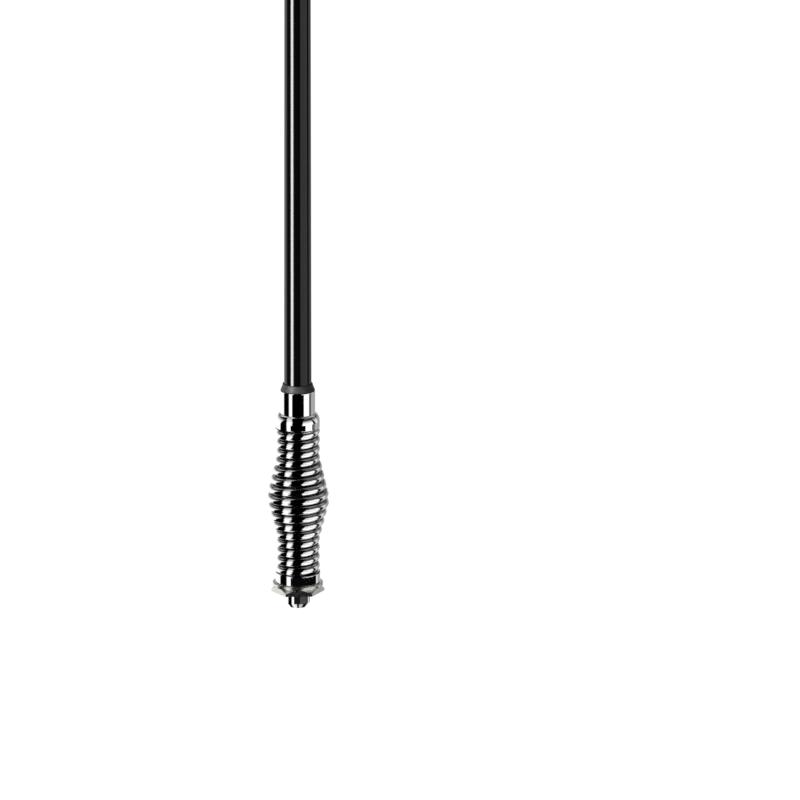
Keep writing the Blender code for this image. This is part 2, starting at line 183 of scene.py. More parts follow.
SPRING_FOOT, SPRING_TOP = span("barrel_spring")
SPRING_PITCH = (SPRING_TOP - SPRING_FOOT) / SPRING_TURNS
BELLY_OUTER_RADIUS = (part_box("barrel_spring")[1].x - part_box("barrel_spring")[0].x) / 2
LOWER_SPIGOT_TOP = span("lower_spring_plug")[1]
UPPER_SPIGOT_FOOT, UPPER_TOP = span("upper_spring_plug")
UPPER_FOOT = SPRING_TOP + FIT
FERRULE_THREAD_FOOT, FERRULE_TOP = span("whip_ferrule")
SEAL_TOP = span("rubber_seal")[1]
TUBE_FOOT, TUBE_TOP = span("whip_tube")
CAP_FOOT, CAP_TOP = span("tip_cap")
NUT_FOOT = span("lock_nut")[0]
WASHER_FOOT = span("washer")[0]
LEAD_FOOT, LEAD_TOP = span("feed_cable")
SPRING_MIDDLE = (LOWER_SPIGOT_TOP + UPPER_SPIGOT_FOOT) / 2


def between(low, high, share):
    """The value that lies a share of the way from low to high."""
    return low + (high - low) * share


# Node graphs


class Graph:
    """A node tree that reads from left to right: each call adds a node and links its inputs."""

    def __init__(self, tree):
        self.tree = tree

    def add(self, kind, inputs=None, **settings):
        node = self.tree.nodes.new(kind)
        for name, value in settings.items():
            setattr(node, name, value)
        for key, value in (inputs or {}).items():
            socket = node.inputs[key]
            if isinstance(value, bpy.types.NodeSocket):
                self.tree.links.new(value, socket)
            else:
                socket.default_value = value
        return node

    def math(self, operation, first, second=0.0, clamp=False):
        node = self.add("ShaderNodeMath", {0: first, 1: second}, operation=operation, use_clamp=clamp)
        return node.outputs[0]

    def ramp(self, value, low, high, to_low=0.0, to_high=1.0):
        inputs = {"Value": value, "From Min": low, "From Max": high, "To Min": to_low, "To Max": to_high}
        return self.add("ShaderNodeMapRange", inputs, interpolation_type="SMOOTHSTEP").outputs[0]

    def slope(self, value, low, high, to_low, to_high):
        """A straight line through two points, carried on past both."""
        inputs = {"Value": value, "From Min": low, "From Max": high, "To Min": to_low, "To Max": to_high}
        return self.add("ShaderNodeMapRange", inputs, clamp=False).outputs[0]

    def noise(self, where, scale, detail=3.0, roughness=0.5):
        inputs = {"Vector": where, "Scale": scale, "Detail": detail, "Roughness": roughness}
        return self.add("ShaderNodeTexNoise", inputs).outputs["Fac"]

    def stretched(self, where, scale):
        """The same coordinates, drawn out or packed by a scale for each axis."""
        return self.add("ShaderNodeVectorMath", {0: where, 1: scale}, operation="MULTIPLY").outputs[0]

    def mix_colour(self, share, first, second):
        """A mix node has its colours at inputs 6 and 7 and at output 2."""
        inputs = {0: share, 6: first, 7: second}
        return self.add("ShaderNodeMix", inputs, data_type="RGBA").outputs[2]

    def bump(self, height, distance, strength=1.0):
        inputs = {"Height": height, "Distance": distance, "Strength": strength}
        return self.add("ShaderNodeBump", inputs).outputs[0]

    def background(self, strength):
        return self.add("ShaderNodeBackground", {"Color": WHITE, "Strength": strength}).outputs[0]

    def emission(self, strength):
        return self.add("ShaderNodeEmission", {"Color": WHITE, "Strength": strength}).outputs[0]

    def mix_shader(self, share, first, second):
        return self.add("ShaderNodeMixShader", {0: share, 1: first, 2: second}).outputs[0]


def stage_material(name):
    """A material without a node. Returns it with its graph."""
    material = bpy.data.materials.new(name)
    material.use_nodes = True
    material.node_tree.nodes.clear()
    return material, Graph(material.node_tree)


def new_material(name):
    """A material with a bare shader. Returns it with its graph, shader and object coordinates."""
    material = bpy.data.materials.new(name)
    material.use_nodes = True
    tree = material.node_tree
    shader = tree.nodes["Principled BSDF"]
    graph = Graph(tree)
    where = graph.add("ShaderNodeTexCoord").outputs["Object"]
    return material, graph, shader, where


def shade(graph, shader, colour, roughness, normal, metallic=0.0):
    """Links the shader's inputs."""
    shader.inputs["Metallic"].default_value = metallic
    for name, value in (("Base Color", colour), ("Roughness", roughness), ("Normal", normal)):
        graph.tree.links.new(value, shader.inputs[name])


def chrome_material():
    """Bright plate with faint buffing marks, water spots and a thin haze, duller in grooves, with shade
    painted dark into the grooves between turns.
    """
    material, graph, shader, where = new_material("chrome_plate")
    groove = graph.add("ShaderNodeAttribute", attribute_name=GROOVE).outputs["Fac"]
    haze = graph.noise(where, 90.0)
    spots = graph.ramp(graph.noise(where, 900.0, 2.0), 0.62, 0.72)
    buffing = graph.noise(graph.stretched(where, (900.0, 900.0, 9000.0)), 1.0, 4.0)
    plate = graph.mix_colour(haze, (0.80, 0.80, 0.815, 1.0), (0.86, 0.86, 0.87, 1.0))
    # Painted shade: the grooves between the spring's turns are darkened to a dim grey
    colour = graph.mix_colour(groove, plate, (0.20, 0.195, 0.19, 1.0))
    smooth = graph.ramp(haze, 0.35, 0.75, 0.012, 0.03)
    dulled = graph.math("ADD", smooth, graph.math("MULTIPLY", groove, 0.2))
    roughness = graph.math("ADD", dulled, graph.math("MULTIPLY", spots, 0.015))
    normal = graph.bump(buffing, 0.0004 * MM)
    shade(graph, shader, colour, roughness, normal, 1.0)
    return material


def steel_material():
    """Nickel-plated steel: satin, slightly warm and cloudy, with turning marks."""
    material, graph, shader, where = new_material("plated_steel")
    cloud = graph.noise(where, 260.0, 4.0)
    grain = graph.noise(graph.stretched(where, (700.0, 700.0, 6000.0)), 1.0, 5.0, 0.6)
    colour = graph.mix_colour(cloud, (0.56, 0.54, 0.50, 1.0), (0.74, 0.73, 0.70, 1.0))
    roughness = graph.ramp(grain, 0.3, 0.7, 0.16, 0.30)
    normal = graph.bump(grain, 0.01 * MM, 0.6)
    shade(graph, shader, colour, roughness, normal, 1.0)
    return material


def lacquer_material():
    """Deep gloss black over glass fibre, with a slight orange peel and hairline rubs."""
    material, graph, shader, where = new_material("gloss_black_glassfibre")
    peel = graph.noise(graph.stretched(where, (500.0, 500.0, 160.0)), 1.0, 2.0)
    dust = graph.ramp(graph.noise(where, 1500.0, 2.0), 0.66, 0.80)
    rubs = graph.noise(graph.stretched(where, (2400.0, 2400.0, 40.0)), 1.0, 3.0)
    # Painted shade: this black is darker than the lacquer's own, to make up for the strip lamp's extra
    # light on the tube
    colour = graph.mix_colour(dust, (0.0008, 0.0008, 0.001, 1.0), (0.006, 0.006, 0.006, 1.0))
    roughness = graph.ramp(rubs, 0.35, 0.75, 0.04, 0.08)
    normal = graph.bump(peel, 0.0008 * MM)
    shader.inputs["Specular IOR Level"].default_value = 0.3
    shade(graph, shader, colour, roughness, normal)
    return material


def cap_material():
    """Black moulded plastic: semi-gloss, with a very fine grain and a few rubbed spots."""
    material, graph, shader, where = new_material("black_cap_plastic")
    grain = graph.noise(where, 3500.0, 2.0)
    rubbed = graph.ramp(graph.noise(where, 240.0, 3.0), 0.55, 0.75)
    # Painted shade: this black is darker than the plastic's own, to make up for the strip lamp's extra
    # light on the cap
    colour = graph.mix_colour(rubbed, (0.0012, 0.0012, 0.0014, 1.0), (0.005, 0.005, 0.005, 1.0))
    roughness = graph.ramp(rubbed, 0.0, 1.0, 0.07, 0.13)
    normal = graph.bump(grain, 0.004 * MM)
    shader.inputs["Specular IOR Level"].default_value = 0.25
    shade(graph, shader, colour, roughness, normal)
    return material


def rubber_material():
    """Matte moulded rubber with a dusty bloom."""
    material, graph, shader, where = new_material("black_rubber")
    grain = graph.noise(where, 2600.0, 4.0, 0.6)
    bloom = graph.noise(where, 420.0, 3.0)
    # Painted shade: these blacks are darker than the rubber's own, to make up for the strip lamp's extra
    # light on the seal
    colour = graph.mix_colour(bloom, (0.005, 0.005, 0.0055, 1.0), (0.018, 0.018, 0.019, 1.0))
    roughness = graph.ramp(bloom, 0.3, 0.7, 0.42, 0.62)
    normal = graph.bump(grain, 0.03 * MM)
    shader.inputs["Specular IOR Level"].default_value = 0.25
    shade(graph, shader, colour, roughness, normal)
    return material


def insulator_material():
    """White turned plastic with fine lathe rings and a few specks."""
    material, graph, shader, where = new_material("white_insulator")
    rings = graph.noise(graph.stretched(where, (60.0, 60.0, 9000.0)), 1.0, 2.0)
    specks = graph.ramp(graph.noise(where, 1800.0, 1.0), 0.70, 0.76)
    colour = graph.mix_colour(specks, (0.80, 0.80, 0.78, 1.0), (0.62, 0.60, 0.55, 1.0))
    roughness = graph.ramp(rings, 0.3, 0.7, 0.38, 0.52)
    normal = graph.bump(rings, 0.01 * MM)
    shade(graph, shader, colour, roughness, normal)
    return material


def brass_material():
    """Turned brass, slightly tarnished."""
    material, graph, shader, where = new_material("brass")
    tarnish = graph.noise(where, 700.0, 4.0)
    rings = graph.noise(graph.stretched(where, (80.0, 80.0, 9000.0)), 1.0, 2.0)
    colour = graph.mix_colour(tarnish, (0.80, 0.58, 0.25, 1.0), (0.55, 0.38, 0.15, 1.0))
    roughness = graph.ramp(tarnish, 0.3, 0.7, 0.18, 0.34)
    normal = graph.bump(rings, 0.008 * MM)
    shade(graph, shader, colour, roughness, normal, 1.0)
    return material


def copper_material():
    """Drawn copper wire with faint draw lines."""
    material, graph, shader, where = new_material("copper")
    tarnish = graph.noise(where, 500.0, 4.0)
    colour = graph.mix_colour(tarnish, (0.82, 0.42, 0.27, 1.0), (0.50, 0.22, 0.12, 1.0))
    roughness = graph.ramp(tarnish, 0.3, 0.7, 0.22, 0.42)
    normal = graph.bump(graph.noise(where, 5000.0, 2.0), 0.006 * MM)
    shade(graph, shader, colour, roughness, normal, 1.0)
    return material


def jacket_material():
    """Black cable jacket with a fine extruded grain."""
    material, graph, shader, where = new_material("lead_jacket")
    grain = graph.noise(graph.stretched(where, (4000.0, 4000.0, 500.0)), 1.0, 3.0)
    scuffs = graph.noise(where, 350.0, 3.0)
    colour = graph.mix_colour(scuffs, (0.012, 0.012, 0.013, 1.0), (0.035, 0.035, 0.037, 1.0))
    roughness = graph.ramp(scuffs, 0.3, 0.7, 0.38, 0.58)
    normal = graph.bump(grain, 0.02 * MM)
    shade(graph, shader, colour, roughness, normal)
    return material


MATERIALS = {
    "chrome_plate": chrome_material(),
    "plated_steel": steel_material(),
    "gloss_black_glassfibre": lacquer_material(),
    "black_cap_plastic": cap_material(),
    "black_rubber": rubber_material(),
    "white_insulator": insulator_material(),
    "brass": brass_material(),
    "copper": copper_material(),
    "lead_jacket": jacket_material(),
}


# Meshes


def placed(name, data):
    """A new object in the scene."""
    item = bpy.data.objects.new(name, data)
    bpy.context.scene.collection.objects.link(item)
    return item


def finished(name, body, slot):
    """Turns mesh data into a shown piece with its material."""
    bmesh.ops.remove_doubles(body, verts=body.verts, dist=WELD)
    bmesh.ops.dissolve_degenerate(body, edges=body.edges, dist=WELD)
    bmesh.ops.recalc_face_normals(body, faces=body.faces)
    mesh = bpy.data.meshes.new(name)
    body.to_mesh(mesh)
    body.free()
    mesh.shade_smooth()
    mesh.set_sharp_from_angle(angle=SMOOTH_ANGLE)
    mesh.materials.append(MATERIALS[slot])
    item = placed(name, mesh)
    return item


def lathe(name, profile, slot, sides=ROUND, closed=True, swell=None):
    """A turned piece. The profile holds (radius, level) pairs, and swell may move a point in or out."""
    body = bmesh.new()
    rings = []
    for radius, level in profile:
        ring = []
        for side in range(sides):
            angle = 2 * math.pi * side / sides
            reach = radius if swell is None else swell(radius, level, angle)
            ring.append(body.verts.new((reach * math.sin(angle), -reach * math.cos(angle), level)))
        rings.append(ring)
    pairs = list(zip(rings, rings[1:]))
    if closed:
        pairs.append((rings[-1], rings[0]))
    for first, second in pairs:
        for side in range(sides):
            after = (side + 1) % sides
            body.faces.new((first[side], second[side], second[after], first[after]))
    return finished(name, body, slot)


def rounded(corners, radius):
    """The profile with each marked corner turned to a small round.

    A corner is its radius, its level and whether it is rounded. A point just outside each round keeps
    the shading of the straight walls beside it straight.
    """
    points = []
    for index, (out, level, soft) in enumerate(corners):
        if not soft:
            points.append((out, level))
            continue
        corner = Vector((out, level))
        before = Vector(corners[index - 1][:2]) - corner
        after = Vector(corners[(index + 1) % len(corners)][:2]) - corner
        start = corner + before.normalized() * radius
        end = corner + after.normalized() * radius
        points.append(tuple(corner + before.normalized() * (radius + GUARD)))
        for step in range(EDGE_STEPS + 1):
            share = step / EDGE_STEPS
            point = start * (1 - share) ** 2 + corner * 2 * share * (1 - share) + end * share**2
            points.append((point.x, point.y))
        points.append(tuple(corner + after.normalized() * (radius + GUARD)))
    return points


def bulge(radius, level, reach, rise, steps, power=2.0):
    """A quarter of a superellipse in the profile's plane, from its top out to its side."""
    points = []
    for step in range(steps + 1):
        angle = math.pi / 2 * step / steps
        out = reach * math.sin(angle) ** (2 / power)
        up = rise * math.cos(angle) ** (2 / power)
        points.append((radius + out, level + up))
    return points


def swept(name, points, radius, sides, slot, floor=None, ceiling=None):
    """A round wire along the points, with flat ends, cut off flat at the floor and the ceiling."""
    body = bmesh.new()
    groove = body.verts.layers.float.new(GROOVE)
    rings = []
    count = len(points)
    for index, point in enumerate(points):
        ahead = points[min(index + 1, count - 1)]
        behind = points[max(index - 1, 0)]
        along = (ahead - behind).normalized()
        side_axis = along.cross(Vector((0.0, 0.0, 1.0)))
        if side_axis.length < NEARLY_UPRIGHT:
            side_axis = Vector((1.0, 0.0, 0.0))
        side_axis.normalize()
        up_axis = side_axis.cross(along)
        ring = []
        for side in range(sides):
            angle = 2 * math.pi * side / sides
            reach = side_axis * math.cos(angle) + up_axis * math.sin(angle)
            place = point + reach * radius
            if floor is not None:
                place.z = max(place.z, floor)
            if ceiling is not None:
                place.z = min(place.z, ceiling)
            vertex = body.verts.new(place)
            outward = reach.dot(Vector((point.x, point.y, 0.0)).normalized())
            vertex[groove] = min(1.0, max(0.0, (GROOVE_START - outward) / (GROOVE_START - GROOVE_END)))
            ring.append(vertex)
        rings.append(ring)
    for first, second in zip(rings, rings[1:]):
        for side in range(sides):
            after = (side + 1) % sides
            body.faces.new((first[side], first[after], second[after], second[side]))
    body.faces.new(rings[0])
    body.faces.new(list(reversed(rings[-1])))
    return finished(name, body, slot)


# The spring and the lead inside it


def spring_outer_radius(height):
    """The spring's outer radius at a height above its foot."""
    belly_foot = LOWER_STRAIGHT + LOWER_CONE
    belly_top = belly_foot + SPRING_PITCH
    if height <= LOWER_STRAIGHT:
        return LOWER_OUTER_RADIUS
    if height < belly_foot:
        return between(LOWER_OUTER_RADIUS, BELLY_OUTER_RADIUS, (height - LOWER_STRAIGHT) / LOWER_CONE)
    if height <= belly_top:
        return BELLY_OUTER_RADIUS
    share = min(1.0, (height - belly_top) / UPPER_CONE)
    return between(BELLY_OUTER_RADIUS, UPPER_OUTER_RADIUS, share)


def spring_points(low, high):
    """The right-handed helix between two heights above the spring's foot."""
    first = round((low / SPRING_PITCH - SPRING_PHASE) * SPRING_SIDES)
    last = round((high / SPRING_PITCH - SPRING_PHASE) * SPRING_SIDES)
    points = []
    for step in range(first, last + 1):
        turn = step / SPRING_SIDES
        angle = 2 * math.pi * turn
        height = (turn + SPRING_PHASE) * SPRING_PITCH
        radius = spring_outer_radius(height) - WIRE_RADIUS
        place = (radius * math.sin(angle), -radius * math.cos(angle), SPRING_FOOT + height)
        points.append(Vector(place))
    return points


def lead_points(low, high, steps):
    """The coaxial lead between two levels: straight in both plugs, with a little slack between them."""
    points = []
    for step in range(steps + 1):
        level = between(low, high, step / steps)
        share = (level - LOWER_SPIGOT_TOP) / (UPPER_SPIGOT_FOOT - LOWER_SPIGOT_TOP)
        share = min(1.0, max(0.0, share))
        points.append(Vector((LEAD_BOW * math.sin(math.pi * share) ** 2, 0.0, level)))
    return points


def bend_lower(piece):
    """Bakes the piece's place into its mesh; it does not bend it."""
    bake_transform(piece)


def bend_upper(piece):
    """Bakes the piece's place into its mesh; it does not bend it."""
    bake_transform(piece)


def make_spring():
    """The barrel spring, as two half coils that meet without a seam at its middle."""
    past_end = WIRE_RADIUS - GROUND_TIP
    middle = SPRING_MIDDLE - SPRING_FOOT
    height = SPRING_TOP - SPRING_FOOT
    limits = {"floor": SPRING_FOOT, "ceiling": SPRING_TOP}
    runs = {"spring_lower_coil": (-past_end, middle), "spring_upper_coil": (middle, height + past_end)}
    for name, (low, high) in runs.items():
        points = spring_points(low, high)
        piece = swept(name, points, WIRE_RADIUS, WIRE_SIDES, "chrome_plate", **limits)
        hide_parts("barrel_spring")
        if name == "spring_lower_coil":
            bend_lower(piece)
        else:
            bend_upper(piece)


def make_lead():
    """The coaxial lead, as two halves that meet at the spring's middle."""
    lower_points = lead_points(LEAD_FOOT, SPRING_MIDDLE, LEAD_STEPS // 2)
    upper_points = lead_points(SPRING_MIDDLE, LEAD_TOP, LEAD_STEPS // 2)
    lower = swept("feed_cable_lower", lower_points, LEAD_RADIUS, LEAD_SIDES, "lead_jacket")
    upper = swept("feed_cable_upper", upper_points, LEAD_RADIUS, LEAD_SIDES, "lead_jacket")
    for piece in (lower, upper):
        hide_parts("feed_cable")
    bend_lower(lower)
    bend_upper(upper)


# Turned and milled metal


def thread_drop(level, angle):
    """How deep the thread's flank lies under its crest at a point, as a share of its depth."""
    turn = (level / THREAD_PITCH - angle / (2 * math.pi)) % 1.0
    distance = abs(turn - 0.5) * 2
    return min(1.0, max(0.0, (distance - THREAD_CREST) / (1 - THREAD_ROOT - THREAD_CREST)))


def stud_swell(radius, level, angle):
    """Cuts the fine thread into the stud, fading out just below the nut and under the collar."""
    if radius < STUD_RADIUS - WELD or level > COLLAR_FOOT - WELD:
        return radius
    fade = min(1.0, (level - THREAD_FOOT) / THREAD_PITCH, (COLLAR_FOOT - level) / THREAD_PITCH)
    return radius - THREAD_DEPTH * max(0.0, fade) * thread_drop(level, angle)


def make_lower_plug():
    """Spigot, collar and hollow threaded stud, turned in one piece."""
    steps = round((COLLAR_FOOT - THREAD_FOOT) / THREAD_PITCH * THREAD_STEPS)
    stud_levels = [between(COLLAR_FOOT, THREAD_FOOT, step / steps) for step in range(steps + 1)]
    stud_levels += [THREAD_FOOT - GUARD, STUD_NOSE_HEIGHT + GUARD, STUD_NOSE_HEIGHT]
    stud = [(STUD_RADIUS, level) for level in stud_levels]
    upper = rounded(
        [
            (LEAD_BORE, LOWER_SPIGOT_TOP, False),
            (SPIGOT_RADIUS, LOWER_SPIGOT_TOP, True),
            (SPIGOT_RADIUS, COLLAR_TOP, False),
            (LOWER_COLLAR_RADIUS, COLLAR_TOP, True),
            (LOWER_COLLAR_RADIUS, COLLAR_FOOT, True),
            (STUD_RADIUS + EDGE, COLLAR_FOOT, False),
        ],
        EDGE,
    )
    lower = [
        (STUD_RADIUS - STUD_NOSE_STEP, 0.0),
        (PLUG_BORE, 0.0),
        (PLUG_BORE, STUD_STEP),
        (LEAD_BORE, STUD_STEP),
    ]
    profile = [*upper, *stud, *lower]
    piece = lathe("lower_plug_and_stud", profile, "chrome_plate", THREAD_ROUND, swell=stud_swell)
    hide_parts("lower_spring_plug")
    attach(piece, "base")


def make_upper_plug():
    """Spigot, collar and rounded shoulder under the ferrule."""
    shoulder_foot = UPPER_FOOT + UPPER_COLLAR_HEIGHT
    reach = UPPER_COLLAR_RADIUS - FERRULE_RADIUS
    rise = UPPER_TOP - shoulder_foot
    shoulder = bulge(FERRULE_RADIUS, shoulder_foot, reach, rise, SHOULDER_STEPS)
    rim = rounded(
        [
            (UPPER_COLLAR_RADIUS, shoulder_foot, False),
            (UPPER_COLLAR_RADIUS, UPPER_FOOT, True),
            (SPIGOT_RADIUS, UPPER_FOOT, False),
            (SPIGOT_RADIUS, UPPER_SPIGOT_FOOT, True),
            (LEAD_BORE, UPPER_SPIGOT_FOOT, False),
        ],
        EDGE,
    )
    step_foot, step_top = span("socket_insulator")
    inside = [
        (LEAD_BORE, step_foot),
        (PLUG_BORE, step_foot),
        (PLUG_BORE, step_top),
        (FERRULE_THREAD_RADIUS + FIT, step_top),
        (FERRULE_THREAD_RADIUS + FIT, UPPER_TOP),
    ]
    piece = lathe("upper_plug_shoulder", [*shoulder, *rim[1:], *inside], "chrome_plate")
    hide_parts("upper_spring_plug")
    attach(piece, "whip")


def make_ferrule():
    """The whip's chromed socket, with its hollow threaded end below."""
    socket = WHIP_BASE_RADIUS + FIT
    floor = TUBE_FOOT - FIT
    profile = rounded(
        [
            (socket, FERRULE_TOP, False),
            (FERRULE_RADIUS, FERRULE_TOP, True),
            (FERRULE_RADIUS, UPPER_TOP + PRESSED, False),
            (FERRULE_THREAD_RADIUS, UPPER_TOP + PRESSED, False),
            (FERRULE_THREAD_RADIUS, FERRULE_THREAD_FOOT, True),
            (PLUG_BORE, FERRULE_THREAD_FOOT, False),
            (PLUG_BORE, floor, False),
            (socket, floor, False),
        ],
        EDGE,
    )
    piece = lathe("ferrule_socket", profile, "chrome_plate")
    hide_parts("whip_ferrule")
    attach(piece, "whip")


def make_washer():
    """A plain washer, pressed up against the collar."""
    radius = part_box("washer")[1].x
    top = COLLAR_FOOT - PRESSED
    profile = rounded(
        [
            (STUD_CLEARANCE, top, False),
            (radius, top, True),
            (radius, WASHER_FOOT, True),
            (STUD_CLEARANCE, WASHER_FOOT, False),
        ],
        WASHER_EDGE,
    )
    piece = lathe("plain_washer", profile, "plated_steel")
    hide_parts("washer")
    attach(piece, "base")


def make_nut():
    """The thin hexagon lock nut, with its upper corners chamfered and both ends of its bore broken."""
    corner = NUT_ACROSS_FLATS / math.sqrt(3)
    top = WASHER_FOOT - PRESSED
    half = (top - NUT_FOOT) / 2
    body = bmesh.new()
    place = Matrix.Translation((0, 0, NUT_FOOT + half)) @ Matrix.Rotation(NUT_TURN, 4, "Z")
    bmesh.ops.create_cone(
        body, cap_ends=True, segments=6, radius1=corner, radius2=corner, depth=2 * half, matrix=place
    )
    nut = finished("hexagon_lock_nut", body, "plated_steel")
    face_radius = NUT_ACROSS_FLATS / 2 - NUT_FACE_INSET
    slope_reach = corner + EDGE
    slope_height = (slope_reach - face_radius) * math.tan(NUT_CHAMFER_SLOPE)
    profile = [
        (face_radius, top),
        (slope_reach, top - slope_height),
        (slope_reach, NUT_FOOT - EDGE),
        (STUD_CLEARANCE + NUT_BORE_CHAMFER + EDGE, NUT_FOOT - EDGE),
        (STUD_CLEARANCE, NUT_FOOT + NUT_BORE_CHAMFER),
        (STUD_CLEARANCE, top - NUT_BORE_CHAMFER),
        (STUD_CLEARANCE + NUT_BORE_CHAMFER, top),
    ]
    rim = lathe("nut_rim_cutter", profile, "plated_steel")
    cut = nut.modifiers.new("Rim", "BOOLEAN")
    cut.operation = "INTERSECT"
    cut.solver = "EXACT"
    cut.object = rim
    soften = nut.modifiers.new("Edges", "BEVEL")
    soften.width = NUT_EDGE
    soften.segments = 2
    soften.limit_method = "ANGLE"
    soften.angle_limit = SMOOTH_ANGLE
    soften.harden_normals = True
    graph = bpy.context.evaluated_depsgraph_get()
    mesh = bpy.data.meshes.new_from_object(nut.evaluated_get(graph))
    nut.modifiers.clear()
    nut.data = mesh
    bpy.data.objects.remove(rim, do_unlink=True)
    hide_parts("lock_nut")
    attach(nut, "nut")


# Rubber, lacquer and plastic


def make_seal():
    """The rubber ring over the ferrule's mouth, with a slightly hollow conical flare."""
    inner = WHIP_BASE_RADIUS + FIT
    foot = FERRULE_TOP + PRESSED
    lip = inner + SEAL_LIP
    rim_level = foot + SEAL_RIM_ROUND
    flare = []
    for step in range(FLARE_STEPS):
        share = step / FLARE_STEPS
        hollow = SEAL_HOLLOW * math.sin(math.pi * share)
        flare.append((between(lip, SEAL_RADIUS, share) - hollow, between(SEAL_TOP, rim_level, share)))
    rim = bulge(SEAL_RADIUS - SEAL_RIM_ROUND, rim_level, SEAL_RIM_ROUND, -SEAL_RIM_ROUND, RIM_STEPS)
    profile = [*flare, *reversed(rim), (inner, foot), (inner, SEAL_TOP)]
    piece = lathe("flared_rubber_seal", profile, "black_rubber")
    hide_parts("rubber_seal")
    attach(piece, "whip")


def make_whip_tube():
    """The lacquered tube, slightly tapered, in short rings so that its surface can be shaded evenly."""
    outside = []
    for step in range(TUBE_STEPS + 1):
        share = step / TUBE_STEPS
        radius = between(WHIP_TIP_RADIUS, WHIP_BASE_RADIUS, share)
        outside.append((radius, between(TUBE_TOP, TUBE_FOOT, share)))
    inside = [(WHIP_BASE_RADIUS - WHIP_WALL, TUBE_FOOT), (WHIP_TIP_RADIUS - WHIP_WALL, TUBE_TOP)]
    piece = lathe("lacquered_whip_tube", [*outside, *inside], "gloss_black_glassfibre", TUBE_ROUND)
    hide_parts("whip_tube")
    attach(piece, "whip")


def make_tip_cap():
    """The domed cap pushed over the tube's top."""
    dome_foot = CAP_TOP - CAP_DOME_HEIGHT
    dome = bulge(0.0, dome_foot, CAP_RADIUS, CAP_DOME_HEIGHT, DOME_STEPS, CAP_DOME_POWER)
    lip_level = CAP_FOOT + CAP_LIP_ROUND
    lip_inner = CAP_RADIUS - CAP_LIP_STEP - CAP_LIP_ROUND
    lip = bulge(lip_inner, lip_level, CAP_LIP_ROUND, -CAP_LIP_ROUND, RIM_STEPS)
    share = (CAP_FOOT - TUBE_FOOT) / (TUBE_TOP - TUBE_FOOT)
    bore = between(WHIP_BASE_RADIUS, WHIP_TIP_RADIUS, share) + FIT
    ceiling = CAP_TOP - CAP_CROWN
    profile = [*dome, *reversed(lip), (bore, CAP_FOOT), (bore, ceiling), (0.0, ceiling)]
    piece = lathe("domed_tip_cap", profile, "black_cap_plastic", closed=False)
    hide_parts("tip_cap")
    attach(piece, "whip")


def dress_inner_pieces():
    """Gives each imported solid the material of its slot, which shows on the inner ones that stay."""
    for row in frame["record"]["subparts"]:
        node = frame["nodes"][row["node"]]
        node.data.materials.clear()
        node.data.materials.append(MATERIALS[row["material_slot"]])


# The studio: light panels as seen from the object, a lamp, cards, a pale floor and the camera

# Light panels in degrees, with azimuth 0 at the front and rising to the right: the left edge's azimuth
# at foot and head, the right edge's at foot and head, the elevations of foot and head, the softness
# of the sides, the foot and the head, and the strength
PANELS = {
    "left_strip": ((-59, -59), (-31, -29), (-34, 18), (8, 2, 4), 1.25),
    "left_strip_head": ((-59, -76), (-29, -40), (18, 48), (8, 4, 10), 0.9),
    "left_strip_crown": ((-76, -130), (-40, -60), (48, 80), (8, 10, 8), 0.6),
    "left_strip_foot": ((-94, -59), (-56, -31), (-62, -34), (6, 4, 2), 1.25),
    "left_backdrop": ((-190, -190), (-114, -84), (-33, 14), (8, 6, 36), 1.2),
    "left_ceiling": ((-190, -190), (-125, -105), (32, 95), (10, 16, 8), 0.8),
    "left_table": ((-140, -140), (-64, -58), (-84, -60), (8, 6, 4), 1.0),
    "right_panel": ((20, 28), (94, 79), (-30, 14), (6, 2, 40), 1.25),
    "right_panel_foot": ((38, 17), (108, 94), (-68, -30), (6, 6, 2), 1.25),
    "right_table": ((102, 98), (128, 124), (-84, -44), (6, 6, 6), 0.6),
    "right_backdrop": ((124, 88), (124, 116), (-40, 16), (6, 6, 40), 0.9),
    "right_backdrop_far": ((122, 114), (154, 150), (-40, 16), (6, 6, 40), 0.42),
    "right_backdrop_edge": ((154, 150), (190, 190), (-38, 16), (6, 6, 40), 0.9),
    "right_crown": ((45, 60), (120, 120), (40, 80), (10, 14, 10), 0.13),
    "right_ceiling": ((112, 118), (190, 190), (32, 95), (10, 16, 8), 0.5),
}

# A narrow tall lamp at the left front that lights only the black pieces, and its place round the whip
LAMP_AZIMUTH = math.radians(-48)
LAMP_DISTANCE = 0.8
LAMP_WIDTH = 0.30
LAMP_FOOT = -0.32
LAMP_HEAD = 0.90
LAMP_RADIANCE = 30.0
LAMP_RECEIVERS = ("lacquered_whip_tube", "domed_tip_cap", "flared_rubber_seal")

# Cards in a ring round the object, so low and narrow that only the turned walls mirror them: the
# azimuth of a card's left and right edge, the levels of its foot and head, and its strength
CARD_DISTANCE = 0.30
CARD_STEPS = 12
CARDS = {
    "stub_card": (-37, 20, -0.0970, -0.0765, 0.01),
    "stub_side_card": (20, 92, -0.0970, -0.0765, 0.075),
    "lower_collar_card": (-37, 96, -0.0765, -0.0640, 0.003),
    "upper_collar_card": (-37, 46, 0.0045, 0.0100, 0.0),
    "ferrule_card": (-37, 40, 0.0100, 0.0375, 0.0),
    "ferrule_side_card": (78, 95, 0.0100, 0.0375, 0.13),
    "ferrule_far_card": (96, 122, 0.0100, 0.0375, 0.48),
}

# What matte surfaces get from all round, and the white that the camera sees behind the object
AMBIENT_STRENGTH = 0.9
BACKDROP_STRENGTH = 1.0

# The floor's place, its grey, and the glow that only the camera sees on it
FLOOR_LEVEL = -0.35
FLOOR_SIZE = 30.0
FLOOR_GREY = 0.6
FLOOR_GLOW = 0.5


